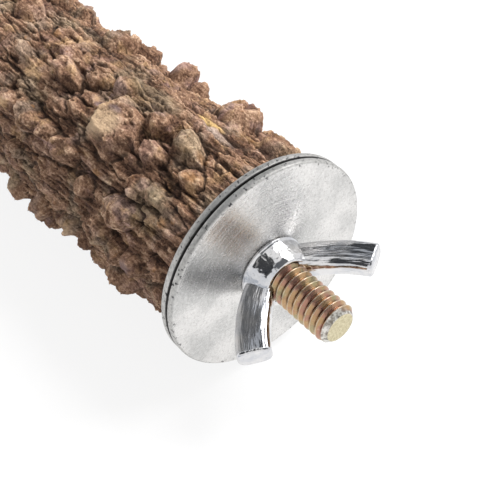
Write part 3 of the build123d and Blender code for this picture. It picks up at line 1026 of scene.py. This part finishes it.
stageSet = {
    # floor, shade and the lamps' target in metres, the cards' pale patches in millimetres
    "floorSize": 3.0, "floorSteps": 9, "shadowShare": 0.15, "shadowFade": (0.5, 0.2), "worldLight": 0.5,
    "lampTarget": (-0.02, 0, 0), "cardSteps": 5, "cardTint": (0.9, 0.94, 1.0),
    "patchGrain": 14, "patchSide": (60, 30), "patchColour": rgb(0.85, 0.88, 0.92),
    # the camera's aim and distance in millimetres, its angles in degrees
    "aim": (-1.983, -1.271, 1.954), "azimuth": 51.016, "elevation": 44.311, "distance": 150.0,
    "lens": 68.52, "sensor": 36.0, "clipStart": 0.005,
}
# Dark cards: direction from the object, distance, width and height in millimetres, glow and share of
# pale patches
cards = {
    "darkCardAbove": ((-0.556, 0.127, 0.821), 260, 330, 220, 0.08, 0.85),
    "darkCardFront": ((0.556, 0.127, 0.821), 260, 250, 210, 0.18, 0.0),
    "darkCardLeft": ((-0.12, -0.62, 0.75), 250, 270, 260, 0.07, 0.0),
    "darkCardLow": ((0.25, -0.72, -0.33), 61, 55, 40, 0.72, 0.0),
}
# Lamps: direction from the object, distance and size in metres, watts, whether mirrored, whether lighting
lamps = {
    "keyLamp": ((0.10, 0.60, 0.80), 0.55, 0.34, 6.9, False, True),
    "glossLamp": ((0.10, 0.60, 0.80), 0.56, 0.34, 1.2, True, False),
    "leftLamp": ((-0.35, -0.75, 0.45), 0.6, 0.45, 1.0, False, True),
}


def directionOf(azimuth, elevation):
    # from the aim towards the camera: azimuth 0 looks along +Y
    turn, rise = np.radians(azimuth), np.radians(elevation)
    return np.array([np.sin(turn) * np.cos(rise), -np.cos(turn) * np.cos(rise), np.sin(rise)])


def lightPath(start):
    # 1 for rays that see the background: from the camera, or off glossy or clear surfaces
    path = start.node("ShaderNodeLightPath")
    outputs = path.socket.node.outputs
    kinds = ("Is Camera Ray", "Is Glossy Ray", "Is Transmission Ray")
    seen = [Wire(start.tree, outputs[kind]) for kind in kinds]
    return (seen[0] + seen[1] + seen[2]).clamp()


def makeFloor():
    # a square sheet at the level of the object's lowest point
    half = stageSet["floorSize"] / 2 / mm
    steps = np.linspace(-half, half, stageSet["floorSteps"])
    along, across = np.meshgrid(steps, steps, indexing="ij")
    level = cadBox[0].z / mm
    points = np.stack([along, across, np.full_like(along, level)], -1).reshape(-1, 3)
    floor = meshPiece("floor", points, sheetQuads(stageSet["floorSteps"]))
    material, place, shader = newMaterial("paleFloor")
    tree = material.node_tree
    plug(shader, {"Base Color": rgb(0.9, 0.9, 0.9), "Roughness": 0.9, "Specular IOR Level": 0.0})
    glow = place.node("ShaderNodeEmission", None, {"Color": rgb(1, 1, 1), "Strength": 1.0})
    output = tree.nodes["Material Output"]
    # shade shows near the object only, so the far floor meets the white behind it
    away = place.node("ShaderNodeVectorMath", {"operation": "LENGTH"}, {0: place}, "Value")
    shade = away.between(*stageSet["shadowFade"]) * stageSet["shadowShare"]
    blend = place.node("ShaderNodeMixShader", None, {
        0: lightPath(place) * (1 - shade), 1: Wire(tree, shader.outputs[0]), 2: glow})
    tree.links.new(blend.socket, output.inputs["Surface"])
    floor.data.materials.append(material)


def makeWorld():
    # white where it is seen, dimmer as light on the object
    world = bpy.data.worlds.new("studio")
    bpy.context.scene.world = world
    world.use_nodes = True
    tree = world.node_tree
    start = Wire(tree)
    strength = lightPath(start) * (1 - stageSet["worldLight"]) + stageSet["worldLight"]
    tree.links.new(strength.socket, tree.nodes["Background"].inputs["Strength"])
    tree.nodes["Background"].inputs["Color"].default_value = rgb(1, 1, 1)


def makeLamp(name, direction, distance, size, power, mirrored, lighting):
    # a square soft box that faces the object; it can be left out of reflections, or out of all but these
    lamp = bpy.data.lights.new(name, "AREA")
    lamp.shape = "SQUARE"
    lamp.size = size
    lamp.energy = power
    holder = bpy.data.objects.new(name, lamp)
    bpy.context.scene.collection.objects.link(holder)
    holder.visible_glossy = mirrored
    holder.visible_diffuse = lighting
    place = np.array(direction) / np.linalg.norm(direction) * distance
    pointAt(holder, place, np.array(stageSet["lampTarget"]))


def pointAt(holder, place, target):
    holder.location = place
    holder.rotation_euler = Vector(target - place).to_track_quat("-Z", "Y").to_euler()


def makeCard(name, direction, distance, width, height, glow, patchShare):
    # a dark card that faces the object from outside the picture, seen only in the metal
    steps = np.linspace(-0.5, 0.5, stageSet["cardSteps"])
    across, up = np.meshgrid(steps * width, steps * height, indexing="ij")
    toward = np.array(direction) / np.linalg.norm(direction)
    side = np.cross([0.0, 0.0, 1.0], toward)
    side = side / np.linalg.norm(side)
    points = toward * distance + across[..., None] * side + up[..., None] * np.cross(toward, side)
    card = meshPiece(name, points.reshape(-1, 3), sheetQuads(stageSet["cardSteps"]))
    material, place, shader = newMaterial(name)
    colour = rgb(*(glow * np.array(stageSet["cardTint"])))
    if patchShare:
        # streaks on the wing at -Y come from pale patches on that side of the card
        far, near = stageSet["patchSide"]
        cloud = 0.55 + 0.45 * place.noise(stageSet["patchGrain"], 2).between(0.38, 0.62)
        patch = cloud * axisOf(place, "Y").between(far * mm, near * mm)
        colour = (patch * patchShare).mix(colour, stageSet["patchColour"])
    plug(shader, {"Base Color": rgb(0, 0, 0), "Specular IOR Level": 0.0, "Roughness": 1.0,
                  "Emission Color": colour, "Emission Strength": 1.0})
    card.data.materials.append(material)
    card.visible_camera = False
    card.visible_diffuse = False
    card.visible_shadow = False


makeFloor()
makeWorld()
for name, settings in cards.items():
    makeCard(name, *settings)
for name, settings in lamps.items():
    makeLamp(name, *settings)
print("stage done")

camera = bpy.data.cameras.new("photoCamera")
camera.lens = stageSet["lens"]
camera.sensor_width = stageSet["sensor"]
camera.clip_start = stageSet["clipStart"]
cameraHolder = bpy.data.objects.new("photoCamera", camera)
bpy.context.scene.collection.objects.link(cameraHolder)
aim = np.array(stageSet["aim"]) * mm
eye = aim + directionOf(stageSet["azimuth"], stageSet["elevation"]) * stageSet["distance"] * mm
pointAt(cameraHolder, eye, aim)
bpy.context.scene.camera = cameraHolder
bpy.context.scene.view_settings.view_transform = "Standard"
